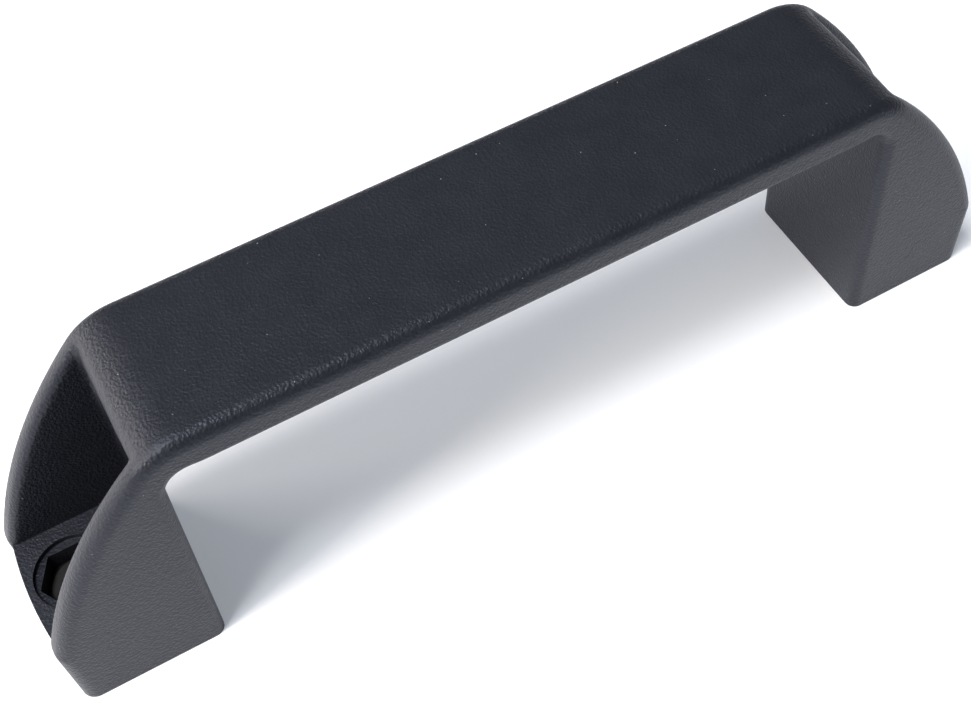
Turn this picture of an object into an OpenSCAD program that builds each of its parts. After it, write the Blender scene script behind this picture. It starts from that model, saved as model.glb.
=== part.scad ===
// Bridge pull handle with two bolt-on feet. Each foot has a pocket, open above and at its end, with a
// counterbored hexagonal seat in its floor. A hexagon nut drops into the seat, and the screw comes up
// through the panel. X runs along the grip, Y across it, and Z up from the panel. The origin is at the
// middle of the mounting plane.

/* [Handle] */
// Distance between the two screw holes, which sets the overall length
hole_pitch = 128; // [96:1:192]
// Width of the grip and of the feet
width = 23.2; // [20:0.2:36]
// Height from the panel to the top of the grip
height = 43.8; // [36.6:0.2:70]
// Thickness of the grip
grip_t = 5.2; // [3:0.1:8]
// Length of each foot along X, where it meets the grip
foot_len = 20.4; // [18:0.1:32]
// How far each foot's inner face draws back between the grip and the panel
inner_draft = 0.5; // [0:0.05:1]
// Round in the two upper corners of the finger gap
gap_r = 3.6; // [1:0.1:8]

/* [Ends] */
// How far each end draws in between the pocket floor and the panel
end_draft = 0.3; // [0.1:0.1:1.5]
// Angle between the vertical and the big end round where it starts, level with the pocket floor
end_slope = 17.2; // [10:0.2:22]
// How far back from the end the big end round would reach the flat top
end_back = 20.2; // [18:0.1:24]
// Radius of the corner round between the end round and the flat top
corner_r = 12; // [6:0.5:14]
// Slight angle at which the corner round meets each of them
corner_break = 5; // [3:0.5:8]
// Round along the outer long edges
edge_r = 1.9; // [0.8:0.1:2.6]

/* [Pockets] */
// Height of the pocket floor above the panel
floor_h = 11.4; // [9.5:0.1:18]
// Thickness of the two side cheeks at the top of the grip
cheek_t = 2.9; // [2:0.1:4]
// How much thicker each cheek is at the pocket floor
cheek_draft = 1.3; // [0:0.1:2]
// Thickness of the wall between the pocket and the finger gap
inner_wall_t = 2.2; // [1.5:0.1:4]
// How far the middle of the pocket floor's end stands out past the cheeks
sill_proud = 0.15; // [0.1:0.05:1]
// How far the end of the pocket floor falls back from its middle to the cheeks
sill_bow = 0.5; // [0.3:0.1:1.5]

/* [Fixings] */
// Diameter of the screw holes through the base
hole_d = 5.5; // [4.5:0.1:6.5]
// Thickness of the base below the nut
base_t = 4; // [2.5:0.1:6]
// Width across flats of the nut
nut_af = 8; // [7:0.5:10]
// Height of the nut
nut_h = 4; // [3:0.1:5]
// Tapped bore of the nut
nut_bore_d = 4.2; // [3.3:0.1:5]
// Clearance between the nut and each wall of its seat
nut_gap = 0.15; // [0.05:0.05:0.3]
// Width of the counterbore's floor outside the corners of the hexagonal seat
counterbore_rim = 0.5; // [0.2:0.1:1]
// Depth of the counterbore below the pocket floor
counterbore_depth = 0.8; // [0.3:0.1:2]
// Wall left between the counterbore and the end of the handle
end_wall = 0.8; // [0.4:0.1:2]

/* [Hidden] */
$fn = 96;
eps = 0.01;
// Seat for the nut, and the counterbore around it
nut_corner_r = nut_af / sqrt(3);
seat_corner_r = (nut_af + 2 * nut_gap) / sqrt(3);
counterbore_r = seat_corner_r + counterbore_rim;
// The handle ends a wall's thickness past the counterbore
hole_x = hole_pitch / 2;
half_l = hole_x + counterbore_r + end_wall;
half_w = width / 2;
gap_h = height - grip_t;
// The big end round leaves the straight part at its slope, level with the pocket floor, and passes
// through the point that is end_back from the end, level with the flat top
end_rise = height - floor_h;
end_r = (pow(end_back, 2) + pow(end_rise, 2))
    / (2 * (end_back * cos(end_slope) - end_rise * sin(end_slope)));
end_x = half_l - end_r * cos(end_slope);
end_z = floor_h - end_r * sin(end_slope);
// Centre of the corner round, from the angle at which it meets the flat top and the end round
corner_z = height - corner_r * cos(corner_break);
corner_reach = sqrt(
    pow(end_r, 2) + pow(corner_r, 2) - 2 * end_r * corner_r * cos(corner_break)
);
corner_x = end_x + sqrt(pow(corner_reach, 2) - pow(corner_z - end_z, 2));
corner_deg = atan2(corner_z - end_z, corner_x - end_x);
// The lower part of an end leans out by this angle
lean_deg = atan(end_draft / floor_h);
// Inner face of a foot, at the grip and at the panel
inner_top = half_l - foot_len;
inner_base = inner_top + inner_draft;
// Centre of the round in a corner of the finger gap, which touches the foot and the grip
gap_slope = inner_draft / gap_h;
gap_round_z = gap_h - gap_r;
gap_round_x = inner_base - gap_slope * gap_round_z - gap_r * sqrt(1 + gap_slope * gap_slope);
gap_touch_deg = atan(gap_slope);
gap_steps = 12;
pocket_x = inner_top + inner_wall_t;
pocket_side = half_w - cheek_t - cheek_draft;
sill_x = half_l + sill_proud;
sill_r = (pow(pocket_side, 2) + pow(sill_bow, 2)) / (2 * sill_bow);
// Bevels of the nut, at its outside and at its bore
nut_face_step = 0.24;
nut_bevel_deg = 30;
thread_chamfer = 0.5;
// Flats in the round of an outer long edge
edge_flats = 3;
// Rounds that meet differ by this much, so that no two of them share an edge line
edge_step = 0.06;
// Cutting shapes run this far past the handle
reach = 2 * height;
span = 2 * half_l;
cut_over = 1;

// A slice of a disc between two angles, measured from X
module sector(r, from_deg, to_deg) {
    far = 2 * r;
    mid_deg = (from_deg + to_deg) / 2;
    intersection() {
        circle(r = r);
        polygon([
            [0, 0],
            [far * cos(from_deg), far * sin(from_deg)],
            [far * cos(mid_deg), far * sin(mid_deg)],
            [far * cos(to_deg), far * sin(to_deg)]
        ]);
    }
}

// A band across the handle's width, whose outer corners are taken round in a few narrow flats
module edge_band(inner, outer, round_r) {
    polygon(concat(
        [[inner, half_w], [inner, -half_w]],
        [for (i = [0 : edge_flats])
            let (a = 90 - 90 * i / edge_flats)
            [outer - round_r + round_r * cos(a), round_r - half_w - round_r * sin(a)]],
        [for (i = [0 : edge_flats])
            let (a = 90 * i / edge_flats)
            [outer - round_r + round_r * cos(a), half_w - round_r + round_r * sin(a)]]
    ));
}

// The band turned into a disc about an axis along Y at x, z
module rounded_disc(x, z, r, round_r) {
    translate([x, 0, z])
        rotate([90, 0, 0])
            rotate_extrude()
                edge_band(0, r, round_r);
}

// Everything below the flat top
module top_slab() {
    translate([-span, 0, 0])
        rotate([90, 0, 90])
            linear_extrude(2 * span)
                rotate(90)
                    edge_band(-reach, height, edge_r);
}

// Everything inside the straight, leaning lower part of the end
module end_block() {
    translate([half_l - end_draft, 0, 0])
        rotate([0, lean_deg, 0])
            translate([0, 0, -reach])
                linear_extrude(2 * reach)
                    edge_band(-2 * span, 0, edge_r + edge_step);
}

// What lies outside the corner round, between the end round and the flat top
module corner_cut() {
    past = 2 * corner_break;
    difference() {
        translate([corner_x, 0, corner_z])
            rotate([90, 0, 0])
                linear_extrude(2 * width, center = true)
                    sector(3 * corner_r, corner_deg - past, 90 + corner_break);
        rounded_disc(corner_x, corner_z, corner_r, edge_r - edge_step);
    }
}

module half_outside() {
    difference() {
        intersection() {
            top_slab();
            end_block();
            rounded_disc(end_x, end_z, end_r, edge_r - 2 * edge_step);
        }
        corner_cut();
        translate([-2 * span, -width, -reach])
            cube([2 * span, 2 * width, 2 * reach]);
    }
}

// Outline of half of the finger gap, with a round in its upper corner
module gap_outline() {
    polygon(concat(
        [[-eps, gap_h], [-eps, -reach], [inner_base + gap_slope * reach, -reach]],
        [for (i = [0 : gap_steps])
            let (a = gap_touch_deg + (90 - gap_touch_deg) * i / gap_steps)
            [gap_round_x + gap_r * cos(a), gap_round_z + gap_r * sin(a)]]
    ));
}

module finger_gap() {
    rotate([90, 0, 0])
        linear_extrude(2 * width, center = true)
            gap_outline();
}

// The pocket between the cheeks, open above and at the end, and cut down past the panel
module pocket() {
    side_slope = cheek_draft / (height - floor_h);
    far_side = half_w - cheek_t + side_slope * height;
    translate([pocket_x, 0, 0])
        rotate([90, 0, 90])
            linear_extrude(span)
                polygon([
                    [-pocket_side, -cut_over],
                    [pocket_side, -cut_over],
                    [pocket_side, floor_h],
                    [far_side, reach],
                    [-far_side, reach],
                    [-pocket_side, floor_h]
                ]);
}

// The block that fills the pocket up to its floor and closes the end with a slight bow
module sill() {
    sill_start = pocket_x - inner_wall_t / 2;
    intersection() {
        translate([sill_start, -pocket_side - cheek_t / 2, -cut_over])
            cube([span, 2 * pocket_side + cheek_t, floor_h + cut_over]);
        translate([sill_x, 0, floor_h])
            rotate([0, lean_deg, 0])
                translate([-sill_r, 0, 0])
                    cylinder(r = sill_r, h = reach, center = true);
    }
}

// Counterbore, hexagonal seat and screw hole, one above the other
module fixing_cuts() {
    translate([hole_x, 0, 0]) {
        translate([0, 0, floor_h - counterbore_depth])
            cylinder(r = counterbore_r, h = counterbore_depth + cut_over);
        translate([0, 0, base_t])
            cylinder(r = seat_corner_r, h = floor_h - base_t, $fn = 6);
        translate([0, 0, -cut_over])
            cylinder(d = hole_d, h = base_t + 2 * cut_over);
    }
}

module below_panel() {
    translate([-span, -width, -reach])
        cube([2 * span, 2 * width, reach]);
}

module half_handle() {
    difference() {
        union() {
            difference() {
                half_outside();
                pocket();
            }
            sill();
        }
        finger_gap();
        below_panel();
        fixing_cuts();
    }
}

module handle() {
    color([0.09, 0.09, 0.1]) {
        half_handle();
        mirror([1, 0, 0]) half_handle();
    }
}

// Hexagon nut, chamfered on both faces and at both ends of its bore
module nut(x) {
    face_r = nut_af / 2 - nut_face_step;
    bevel_h = (nut_corner_r - face_r) * tan(nut_bevel_deg);
    bore_r = nut_bore_d / 2;
    color([0.16, 0.16, 0.17])
        translate([x, 0, base_t])
            difference() {
                intersection() {
                    cylinder(r = nut_corner_r, h = nut_h, $fn = 6);
                    rotate_extrude()
                        polygon([
                            [0, 0],
                            [face_r, 0],
                            [nut_corner_r, bevel_h],
                            [nut_corner_r, nut_h - bevel_h],
                            [face_r, nut_h],
                            [0, nut_h]
                        ]);
                }
                translate([0, 0, -cut_over])
                    cylinder(r = bore_r, h = nut_h + 2 * cut_over);
                translate([0, 0, -eps])
                    cylinder(r1 = bore_r + thread_chamfer, r2 = bore_r, h = thread_chamfer);
                translate([0, 0, nut_h - thread_chamfer + eps])
                    cylinder(r1 = bore_r, r2 = bore_r + thread_chamfer, h = thread_chamfer);
            }
}

handle();
nut(-hole_x);  // left_nut
nut(hole_x);  // right_nut
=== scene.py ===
import math

import bpy
from mathutils import Euler, Matrix, Vector


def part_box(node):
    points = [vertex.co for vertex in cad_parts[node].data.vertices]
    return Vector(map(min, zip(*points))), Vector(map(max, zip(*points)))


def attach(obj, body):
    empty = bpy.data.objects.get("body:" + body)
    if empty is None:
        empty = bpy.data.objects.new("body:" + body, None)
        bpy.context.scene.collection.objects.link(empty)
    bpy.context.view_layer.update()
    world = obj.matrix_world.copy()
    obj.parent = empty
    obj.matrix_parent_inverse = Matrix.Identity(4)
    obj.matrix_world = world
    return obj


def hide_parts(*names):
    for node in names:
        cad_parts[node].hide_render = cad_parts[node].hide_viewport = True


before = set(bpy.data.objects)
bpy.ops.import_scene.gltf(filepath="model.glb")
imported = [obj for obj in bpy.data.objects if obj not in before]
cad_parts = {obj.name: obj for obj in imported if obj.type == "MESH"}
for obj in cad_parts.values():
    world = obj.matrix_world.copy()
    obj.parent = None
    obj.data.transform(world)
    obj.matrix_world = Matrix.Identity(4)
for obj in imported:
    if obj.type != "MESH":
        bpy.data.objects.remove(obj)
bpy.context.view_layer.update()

# ---- Camera: it stands in front of the handle's left half and looks down on it.
# The top of the grip, the front side and the pocket in the left foot are seen at once.
AIM = Vector((-0.00225, -0.00332, 0.020))
CAMERA_DISTANCE = 0.1976
CAMERA_AZIMUTH = math.radians(25.604)
CAMERA_PITCH = math.radians(55.039)
CAMERA_ROLL = math.radians(4.545)
CAMERA_LENS = 55.885
CAMERA_SHIFT = (-0.02375, -0.00696)
ahead = Vector((
    math.sin(CAMERA_AZIMUTH) * math.cos(CAMERA_PITCH),
    math.cos(CAMERA_AZIMUTH) * math.cos(CAMERA_PITCH),
    -math.sin(CAMERA_PITCH),
))
level = Vector((math.cos(CAMERA_AZIMUTH), -math.sin(CAMERA_AZIMUTH), 0))
right = math.cos(CAMERA_ROLL) * level - math.sin(CAMERA_ROLL) * level.cross(ahead)
lens = bpy.data.cameras.new("camera")
lens.sensor_width = 36
lens.lens = CAMERA_LENS
lens.shift_x, lens.shift_y = CAMERA_SHIFT
lens.clip_start = 0.01
camera = bpy.data.objects.new("camera", lens)
bpy.context.scene.collection.objects.link(camera)
turn = Matrix((right, right.cross(ahead), -ahead)).transposed()
camera.matrix_world = Matrix.Translation(AIM - CAMERA_DISTANCE * ahead) @ turn.to_4x4()
bpy.context.scene.camera = camera

# ---- Table and lights: a matt, pale sheet lies under the handle and glows a little, as a lit table does,
# and its light is what shows in the sides. The room above is dim, so the flat top stays nearly black.
# A warm window and a small rim light stand low past the left end and draw the bright lines on the rims.
TABLE_SIZE = 4.0
TABLE_COLOUR = (0.80, 0.82, 0.86, 1)
TABLE_GLOW = (0.88, 0.93, 1.0, 1)
TABLE_GLOW_STRENGTH = 0.23
TABLE_ROUGHNESS = 0.9
ROOM_COLOUR = (0.80, 0.87, 1.0, 1)
ROOM_STRENGTH = 0.20
STUDIO_LIGHTS = [
    # name, place, size in metres, power in watts, colour
    ("overhead_light", (-0.63, -0.18, 1.67), 0.5, 25.0, (1.0, 0.99, 0.98)),
    ("window", (-0.64, 0.44, 0.27), 0.50, 4.3, (1.0, 0.93, 0.84)),
    ("rim_light", (-0.71, -0.10, 0.42), 0.20, 5.6, (1.0, 0.91, 0.80)),
    ("ceiling", (0.30, 0.65, 1.25), 1.5, 1.6, (0.90, 0.95, 1.0)),
]


class Wire:
    """A node socket in a Python expression. Each operator adds one Math node to the socket's tree."""

    def __init__(self, socket):
        self.socket = socket

    @staticmethod
    def node(tree, kind, settings=None, values=None, out=0):
        """Adds a node of any kind: its settings come first, then its sockets' values or links."""
        made = tree.nodes.new(kind)
        for name, value in (settings or {}).items():
            setattr(made, name, value)
        for name, value in (values or {}).items():
            for item in value if isinstance(value, list) else [value]:
                if isinstance(item, Wire):
                    tree.links.new(item.socket, made.inputs[name])
                else:
                    made.inputs[name].default_value = item
        return Wire(made.outputs[out]) if made.outputs else None

    def __getitem__(self, name):
        """Another output of the same node."""
        return Wire(self.socket.node.outputs[name])

    def math(self, operation, *values, clamp=False):
        settings = {"operation": operation, "use_clamp": clamp}
        sockets = dict(enumerate(values))
        return Wire.node(self.socket.id_data, "ShaderNodeMath", settings, sockets)

    def __add__(self, other):
        return self.math("ADD", self, other)

    def __radd__(self, other):
        return self.math("ADD", other, self)

    def __sub__(self, other):
        return self.math("SUBTRACT", self, other)

    def __rsub__(self, other):
        return self.math("SUBTRACT", other, self)

    def __mul__(self, other):
        return self.math("MULTIPLY", self, other)

    def __rmul__(self, other):
        return self.math("MULTIPLY", other, self)

    def __truediv__(self, other):
        return self.math("DIVIDE", self, other)

    def __pow__(self, other):
        return self.math("POWER", self, other)

    def __gt__(self, other):
        return self.math("GREATER_THAN", self, other)

    def __lt__(self, other):
        return self.math("LESS_THAN", self, other)

    def __neg__(self):
        return self.math("SUBTRACT", 0.0, self)

    def __abs__(self):
        return self.math("ABSOLUTE", self)

    def lowest(self, other):
        return self.math("MINIMUM", self, other)

    def highest(self, other):
        return self.math("MAXIMUM", self, other)

    def clamped(self):
        return self.math("ADD", self, 0.0, clamp=True)


def new_material(name):
    material = bpy.data.materials.new(name)
    material.use_nodes = True
    material.node_tree.nodes.clear()
    return material


def close_material(material, values):
    """Ends a material in one Principled shader with these values or links on its sockets."""
    tree = material.node_tree
    shader = Wire.node(tree, "ShaderNodeBsdfPrincipled", {}, values)
    Wire.node(tree, "ShaderNodeOutputMaterial", {}, {"Surface": shader})


table_mesh = bpy.data.meshes.new("table")
half = TABLE_SIZE / 2
table_mesh.from_pydata(
    [(-half, -half, 0), (half, -half, 0), (half, half, 0), (-half, half, 0)], [], [(0, 1, 2, 3)]
)
table = bpy.data.objects.new("table", table_mesh)
bpy.context.scene.collection.objects.link(table)
table_material = new_material("pale_sheet")
close_material(table_material, {
    "Base Color": TABLE_COLOUR,
    "Roughness": TABLE_ROUGHNESS,
    "Emission Color": TABLE_GLOW,
    "Emission Strength": TABLE_GLOW_STRENGTH,
})
table_mesh.materials.append(table_material)

world = bpy.data.worlds.new("room")
bpy.context.scene.world = world
world.use_nodes = True
world.node_tree.nodes.clear()
room = Wire.node(
    world.node_tree, "ShaderNodeBackground", {}, {"Color": ROOM_COLOUR, "Strength": ROOM_STRENGTH}
)
Wire.node(world.node_tree, "ShaderNodeOutputWorld", {}, {"Surface": room})
bpy.context.scene.view_settings.view_transform = "Standard"

for name, stand, width, power, colour in STUDIO_LIGHTS:
    light = bpy.data.lights.new(name, "AREA")
    light.size = width
    light.energy = power
    light.color = colour
    lamp = bpy.data.objects.new(name, light)
    bpy.context.scene.collection.objects.link(lamp)
    lamp.location = stand
    lamp.rotation_euler = (AIM - Vector(stand)).to_track_quat("-Z", "Y").to_euler()

# ---- Handle: one moulding in glass-filled nylon, black right through, with a spark-eroded grain.
# Grip, feet, cheeks and pocket floors come out of the mould together. The edges that a hand meets are
# rounded in the mould; the pocket floor, its counterbore and the nut's seat are left crisp.
MM = 1000
SILL_PROUD = 0.15
foot_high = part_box("handle")[1]
seated_low, seated_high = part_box("right_nut")
HANDLE_SIZES = {
    "Half length": foot_high.x * MM - SILL_PROUD,
    "Half width": foot_high.y * MM,
    "Height": foot_high.z * MM,
    "Grip thickness": 5.2,
    "Foot length": 20.4,
    "Foot draft": 0.5,
    "Gap round": 3.6,
    "End draft": 0.3,
    "Top corner round": 9.2,
    "Outer edge round": 1.9,
    "Gap edge round": 0.7,
    "Foot edge round": 1.5,
    "Rim round": 1.0,
    "Pocket lip round": 0.7,
    "Pocket corner round": 0.4,
    "Pocket wall": 2.2,
    "Cheek thickness": 2.9,
    "Cheek draft": 1.3,
    "Floor height": 11.4,
    "Sill bow": 0.5,
    "Hole place": (seated_low.x + seated_high.x) / 2 * MM,
    "Base thickness": seated_low.z * MM,
    "Counterbore radius": 5.292,
    "Counterbore depth": 0.8,
    "Seat corner radius": 4.792,
    "Screw hole radius": 2.75,
    "Voxel": 0.4,
}
END_SLOPE = math.radians(17.2)
END_BACK = 20.2
# The big round leaves the straight end at its slope and passes END_BACK behind it at the flat top
end_rise = HANDLE_SIZES["Height"] - HANDLE_SIZES["Floor height"]
end_radius = (END_BACK ** 2 + end_rise ** 2) / (
    2 * (END_BACK * math.cos(END_SLOPE) - end_rise * math.sin(END_SLOPE))
)
end_x = HANDLE_SIZES["Half length"] - end_radius * math.cos(END_SLOPE)
end_z = HANDLE_SIZES["Floor height"] - end_radius * math.sin(END_SLOPE)
# The corner round lies inside the big round and touches it and the flat top
corner_z = HANDLE_SIZES["Height"] - HANDLE_SIZES["Top corner round"]
corner_x = end_x + math.sqrt(
    (end_radius - HANDLE_SIZES["Top corner round"]) ** 2 - (corner_z - end_z) ** 2
)
corner_turn = math.atan2(corner_z - end_z, corner_x - end_x)
lean = math.atan2(HANDLE_SIZES["End draft"], HANDLE_SIZES["Floor height"])

moulding = bpy.data.node_groups.new("handle_moulding", "GeometryNodeTree")
moulding.interface.new_socket("Geometry", in_out="OUTPUT", socket_type="NodeSocketGeometry")
size_sockets = {}
for name, value in HANDLE_SIZES.items():
    size_sockets[name] = moulding.interface.new_socket(
        name, in_out="INPUT", socket_type="NodeSocketFloat"
    )
size = Wire.node(moulding, "NodeGroupInput")


def hypotenuse(a, b):
    return (a * a + b * b) ** 0.5


def rounded_overlap(a, b, radius):
    """Distance to what lies inside both a and b, with the edge between them rounded."""
    inside = a.highest(b).lowest(-radius)
    return inside + hypotenuse((a + radius).highest(0.0), (b + radius).highest(0.0))


# Distance from any point to the moulding's skin, negative inside. Both ends and both sides are alike.
point = Wire.node(moulding, "GeometryNodeInputPosition")
xyz = Wire.node(moulding, "ShaderNodeSeparateXYZ", {}, {"Vector": point})
along, aside, up = abs(xyz["X"]), abs(xyz["Y"]), xyz["Z"]
below_top = up - size["Height"]
inside_round = hypotenuse(along - end_x, up - end_z) - end_radius
inside_corner = hypotenuse(along - corner_x, up - corner_z) - size["Top corner round"]
past_corner = (up - corner_z) * math.cos(corner_turn) - (along - corner_x) * math.sin(corner_turn)
at_corner = (along > corner_x) * (past_corner > 0.0)
arch = below_top.highest(inside_round)
outline = arch + at_corner * (inside_corner - arch)
end_foot = size["Half length"] - size["End draft"]
outline = outline.highest((along - end_foot) * math.cos(lean) - up * math.sin(lean))
skin = rounded_overlap(outline, aside - size["Half width"], size["Outer edge round"])
# The finger gap, which narrows a little towards the grip
gap_height = size["Height"] - size["Grip thickness"]
foot_face = size["Half length"] - size["Foot length"] + size["Foot draft"] * (1.0 - up / gap_height)
gap = rounded_overlap(along - foot_face, up - gap_height, size["Gap round"])
down_foot = ((along - foot_face + 5.0) / 4.0).clamped()
gap_edge = size["Gap edge round"] + (size["Foot edge round"] - size["Gap edge round"]) * down_foot
skin = rounded_overlap(skin, -gap, gap_edge)
# The pocket between the cheeks, cut a little deeper than its floor, which the sill then fills
pocket_face = size["Half length"] - size["Foot length"] + size["Pocket wall"]
cheek_slope = size["Cheek draft"] / (size["Height"] - size["Floor height"])
cheek_face = size["Half width"] - size["Cheek thickness"] + cheek_slope * below_top
FLOOR_OVERLAP = 1.5
pocket = rounded_overlap(pocket_face - along, aside - cheek_face, size["Pocket corner round"])
pocket = pocket.highest(size["Floor height"] - FLOOR_OVERLAP - up)
near_cheek = ((aside - cheek_face + 3.0) / 3.0).clamped()
rim = size["Pocket lip round"] + (size["Rim round"] - size["Pocket lip round"]) * near_cheek
skin = rounded_overlap(skin, -pocket, rim)


def vector(x, y, z):
    return Wire.node(moulding, "ShaderNodeCombineXYZ", {}, {0: x, 1: y, 2: z})


# The distance becomes a density that passes one half at the skin, and the skin is drawn through it
MARGIN = 1.2
SKIN_DENSITY = 0.5
reach_x, reach_y = size["Half length"] + MARGIN, size["Half width"] + MARGIN
reach_z = size["Height"] + MARGIN
density = SKIN_DENSITY - skin / size["Voxel"]
cloud = Wire.node(moulding, "GeometryNodeVolumeCube", {}, {
    "Density": density,
    "Min": vector(-reach_x, -reach_y, -MARGIN),
    "Max": vector(reach_x, reach_y, reach_z),
    "Resolution X": 2.0 * reach_x / size["Voxel"],
    "Resolution Y": 2.0 * reach_y / size["Voxel"],
    "Resolution Z": (reach_z + MARGIN) / size["Voxel"],
})
body = Wire.node(
    moulding,
    "GeometryNodeVolumeToMesh",
    {"resolution_mode": "GRID"},
    {"Volume": cloud, "Threshold": SKIN_DENSITY},
)


def placed(geometry, place, turn=(0, 0, 0), scale=(1, 1, 1)):
    values = {"Geometry": geometry, "Translation": place, "Rotation": Euler(turn), "Scale": scale}
    return Wire.node(moulding, "GeometryNodeTransform", {}, values)


# Rows of points across a block, enough for the sill's bow to come out smooth
BLOCK_ROWS = 33


def block(low, high):
    """A box between two corners, each given as three lengths."""
    width = [b - a for a, b in zip(low, high)]
    middle = [(a + b) / 2.0 for a, b in zip(low, high)]
    cube = Wire.node(moulding, "GeometryNodeMeshCube", {}, {"Size": vector(*width), "Vertices Y": BLOCK_ROWS})
    return placed(cube, vector(*middle))


def drill(sides, radius, low, high):
    """A round or polygonal cutter on the screw hole's axis."""
    values = {"Vertices": sides, "Radius": radius, "Depth": high - low}
    cutter = Wire.node(moulding, "GeometryNodeMeshCylinder", {}, values)
    return placed(cutter, vector(size["Hole place"], 0.0, (low + high) / 2.0))


def both_feet(geometry):
    """The same again in the other foot, turned about the middle of the handle."""
    other = placed(geometry, (0, 0, 0), turn=(0, 0, math.pi))
    return Wire.node(moulding, "GeometryNodeJoinGeometry", {}, {0: [geometry, other]})


# The sill fills each pocket up to its floor, and its end bows out a little past the cheeks
SILL_OVERLAP = 1.2
CUT_OVER = 2.0
ROUND_SIDES = 96
sill_side = size["Half width"] - size["Cheek thickness"] - size["Cheek draft"]
sill = block(
    (pocket_face - SILL_OVERLAP, -sill_side - SILL_OVERLAP, -CUT_OVER),
    (size["Half length"] + SILL_PROUD, sill_side + SILL_OVERLAP, size["Floor height"]),
)
sill_draft = size["End draft"] * (up / size["Floor height"] - 1.0)
sill_bow = size["Sill bow"] * (aside / sill_side) ** 2.0
sill = Wire.node(moulding, "GeometryNodeSetPosition", {}, {
    "Geometry": sill,
    "Selection": along > size["Hole place"],
    "Offset": vector(sill_draft - sill_bow, 0.0, 0.0),
})
filled = Wire.node(
    moulding,
    "GeometryNodeMeshBoolean",
    {"operation": "UNION", "solver": "MANIFOLD"},
    {"Mesh 2": [body, both_feet(sill)]},
)
seat_top = size["Floor height"] - size["Counterbore depth"]
counterbore = drill(ROUND_SIDES, size["Counterbore radius"], seat_top, seat_top + CUT_OVER)
seat = drill(6, size["Seat corner radius"], size["Base thickness"], seat_top + CUT_OVER / 2.0)
screw_hole = drill(ROUND_SIDES, size["Screw hole radius"], -size["Base thickness"], seat_top)
under_panel = block((-reach_x, -reach_y, -CUT_OVER * 2.0), (reach_x, reach_y, 0.0))
cut = Wire.node(
    moulding,
    "GeometryNodeMeshBoolean",
    {"operation": "DIFFERENCE", "solver": "MANIFOLD"},
    {
        "Mesh 1": filled,
        "Mesh 2": [both_feet(counterbore), both_feet(seat), both_feet(screw_hole), under_panel],
    },
)
SHARP_ANGLE = math.radians(38)
smooth = Wire.node(moulding, "GeometryNodeSetShadeSmooth", {"domain": "FACE"}, {"Geometry": cut})
edge_angle = Wire.node(moulding, "GeometryNodeInputMeshEdgeAngle")
shaded = Wire.node(moulding, "GeometryNodeSetShadeSmooth", {"domain": "EDGE"}, {
    "Geometry": smooth, "Selection": edge_angle["Unsigned Angle"] > SHARP_ANGLE, "Shade Smooth": False,
})
metres = placed(shaded, (0, 0, 0), scale=(1 / MM, 1 / MM, 1 / MM))
plastic = new_material("grained_black_plastic")
real = Wire.node(moulding, "GeometryNodeRealizeInstances", {}, {"Geometry": metres})
finished = Wire.node(moulding, "GeometryNodeSetMaterial", {}, {"Geometry": real, "Material": plastic})
Wire.node(moulding, "NodeGroupOutput", {}, {0: finished})

handle = bpy.data.objects.new("handle_moulding", bpy.data.meshes.new("handle_moulding"))
bpy.context.scene.collection.objects.link(handle)
maker = handle.modifiers.new("moulding", "NODES")
maker.node_group = moulding
for name, value in HANDLE_SIZES.items():
    maker[size_sockets[name].identifier] = float(value)
seen = bpy.context.evaluated_depsgraph_get()
made = bpy.data.meshes.new_from_object(handle.evaluated_get(seen), depsgraph=seen)
handle.modifiers.clear()
handle.data = made

# Black nylon with a grain of three sizes: fine pits, coarser ones that catch the light, and a slow mottle
NYLON_DARK = (0.0105, 0.0112, 0.0155, 1)
NYLON_LIGHT = (0.0190, 0.0202, 0.0262, 1)
# Painted reflection colour: the gloss is tinted blue to stand in for the bluish light that the sides reflect
PAINTED_BLUE_REFLECTION_TINT = (0.74, 0.81, 1.0, 1)
NYLON_IOR = 1.41
FINE_GRAIN = 4200.0
COARSE_GRAIN = 2500.0
SLOW_MOTTLE = 260.0
GRAIN_DEPTH = 0.00011
DUST_SPACING = 900.0
DUST_COVER = 0.6
DUST_COLOUR = (0.36, 0.36, 0.35, 1)
tree = plastic.node_tree
place = Wire.node(tree, "ShaderNodeTexCoord")["Object"]
fine = Wire.node(tree, "ShaderNodeTexNoise", {}, {
    "Vector": place, "Scale": FINE_GRAIN, "Detail": 2.0, "Roughness": 0.6,
})
coarse = Wire.node(tree, "ShaderNodeTexVoronoi", {"feature": "SMOOTH_F1"}, {
    "Vector": place, "Scale": COARSE_GRAIN, "Smoothness": 0.6,
})
mottle = Wire.node(tree, "ShaderNodeTexNoise", {}, {
    "Vector": place, "Scale": SLOW_MOTTLE, "Detail": 3.0, "Roughness": 0.55,
})
height = fine["Fac"] * 0.55 + coarse["Distance"] * 0.6
tint = (fine["Fac"] * 0.5 + mottle["Fac"] * 0.9 - 0.3).clamped()
colour = Wire.node(
    tree, "ShaderNodeMix", {"data_type": "RGBA"}, {0: tint, 6: NYLON_DARK, 7: NYLON_LIGHT}, out=2
)
specks = Wire.node(tree, "ShaderNodeTexVoronoi", {}, {"Vector": place, "Scale": DUST_SPACING})
pick = Wire.node(tree, "ShaderNodeSeparateColor", {}, {"Color": specks["Color"]})
dust = (specks["Distance"] < 0.05 + 0.04 * pick["Green"]) * (pick["Red"] > 0.9)
dusty = Wire.node(
    tree, "ShaderNodeMix", {"data_type": "RGBA"}, {0: dust * DUST_COVER, 6: colour, 7: DUST_COLOUR}, out=2
)
roughness = 0.30 + 0.12 * coarse["Distance"] + 0.08 * mottle["Fac"]
bump = Wire.node(tree, "ShaderNodeBump", {}, {"Height": height, "Distance": GRAIN_DEPTH, "Strength": 1.0})
close_material(plastic, {
    "Base Color": dusty, "Roughness": roughness, "Normal": bump, "IOR": NYLON_IOR,
    "Specular Tint": PAINTED_BLUE_REFLECTION_TINT,
})
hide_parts("handle")
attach(handle, "handle")

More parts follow.
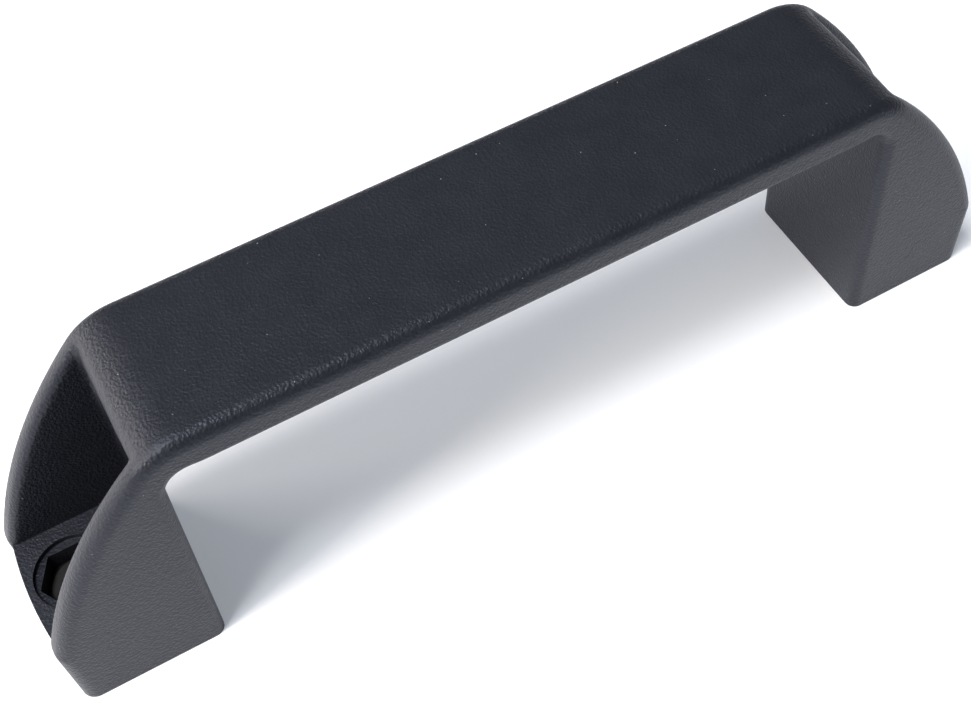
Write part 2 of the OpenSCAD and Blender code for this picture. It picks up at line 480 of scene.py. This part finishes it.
# ---- Nuts: two M5 hexagon nuts in blackened steel, one loose in the seat of each foot.
# Each is cold-formed, bevelled at thirty degrees on both faces, countersunk and tapped right through.
NUT_FACE_STEP = 0.24
BEVEL = math.radians(30)
THREAD_PITCH = 0.8
THREAD_MAJOR_R = 2.5
THREAD_MINOR_R = 2.067
COUNTERSINK_R = 2.6
TURN_STEPS = 96
STEPS_PER_PITCH = 8
NUT_DARK = (0.020, 0.020, 0.022, 1)
NUT_LIGHT = (0.045, 0.044, 0.043, 1)
NUT_STAIN = 900.0
NUT_SCRATCH = 6000.0
NUT_SHARP_ANGLE = math.radians(25)

steel = new_material("blackened_steel")
tree = steel.node_tree
place = Wire.node(tree, "ShaderNodeTexCoord")["Object"]
stain = Wire.node(tree, "ShaderNodeTexNoise", {}, {
    "Vector": place, "Scale": NUT_STAIN, "Detail": 4.0, "Roughness": 0.6,
})
scratch = Wire.node(tree, "ShaderNodeTexNoise", {}, {
    "Vector": place, "Scale": NUT_SCRATCH, "Detail": 2.0, "Roughness": 0.7,
})
colour = Wire.node(
    tree, "ShaderNodeMix", {"data_type": "RGBA"}, {0: stain["Fac"], 6: NUT_DARK, 7: NUT_LIGHT}, out=2
)
bump = Wire.node(
    tree, "ShaderNodeBump", {}, {"Height": scratch["Fac"], "Distance": 0.00002, "Strength": 0.6}
)
close_material(steel, {
    "Base Color": colour, "Metallic": 0.7, "Roughness": 0.38 + 0.25 * stain["Fac"], "Normal": bump,
})


def nut_rings(low, high):
    """Rings of points round a nut's section, one ring for each step of the turn."""
    flat_r = (high.y - low.y) / 2 * MM
    nut_h = (high.z - low.z) * MM
    face_r = flat_r - NUT_FACE_STEP
    centre = Vector(((low.x + high.x) / 2, (low.y + high.y) / 2, low.z))
    thread_steps = round(nut_h / THREAD_PITCH * STEPS_PER_PITCH)
    rings = []
    for step in range(TURN_STEPS):
        turn = 2 * math.pi * step / TURN_STEPS
        from_flat = (turn % (math.pi / 3)) - math.pi / 6
        corner_r = flat_r / math.cos(from_flat)
        bevel_h = (corner_r - face_r) * math.tan(BEVEL)
        section = [(face_r, 0), (corner_r, bevel_h), (corner_r, nut_h - bevel_h), (face_r, nut_h)]
        for k in range(thread_steps + 1):
            z = nut_h * (1 - k / thread_steps)
            phase = (z / THREAD_PITCH - step / TURN_STEPS) % 1
            thread_r = THREAD_MINOR_R + (THREAD_MAJOR_R - THREAD_MINOR_R) * abs(2 * phase - 1)
            sunk_r = COUNTERSINK_R - min(z, nut_h - z)
            section.append((max(thread_r, sunk_r), z))
        rings.append([
            centre + Vector((r * math.cos(turn), r * math.sin(turn), z)) / MM for r, z in section
        ])
    return rings


for side in ("left", "right"):
    node = side + "_nut"
    rings = nut_rings(*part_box(node))
    count = len(rings[0])
    faces = [
        (
            step * count + k,
            (step + 1) % TURN_STEPS * count + k,
            (step + 1) % TURN_STEPS * count + (k + 1) % count,
            step * count + (k + 1) % count,
        )
        for step in range(TURN_STEPS) for k in range(count)
    ]
    mesh = bpy.data.meshes.new(node + "_threaded")
    mesh.from_pydata([corner for ring in rings for corner in ring], [], faces)
    mesh.shade_smooth()
    mesh.set_sharp_from_angle(angle=NUT_SHARP_ANGLE)
    mesh.materials.append(steel)
    nut = bpy.data.objects.new(node + "_threaded", mesh)
    bpy.context.scene.collection.objects.link(nut)
    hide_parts(node)
    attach(nut, node)
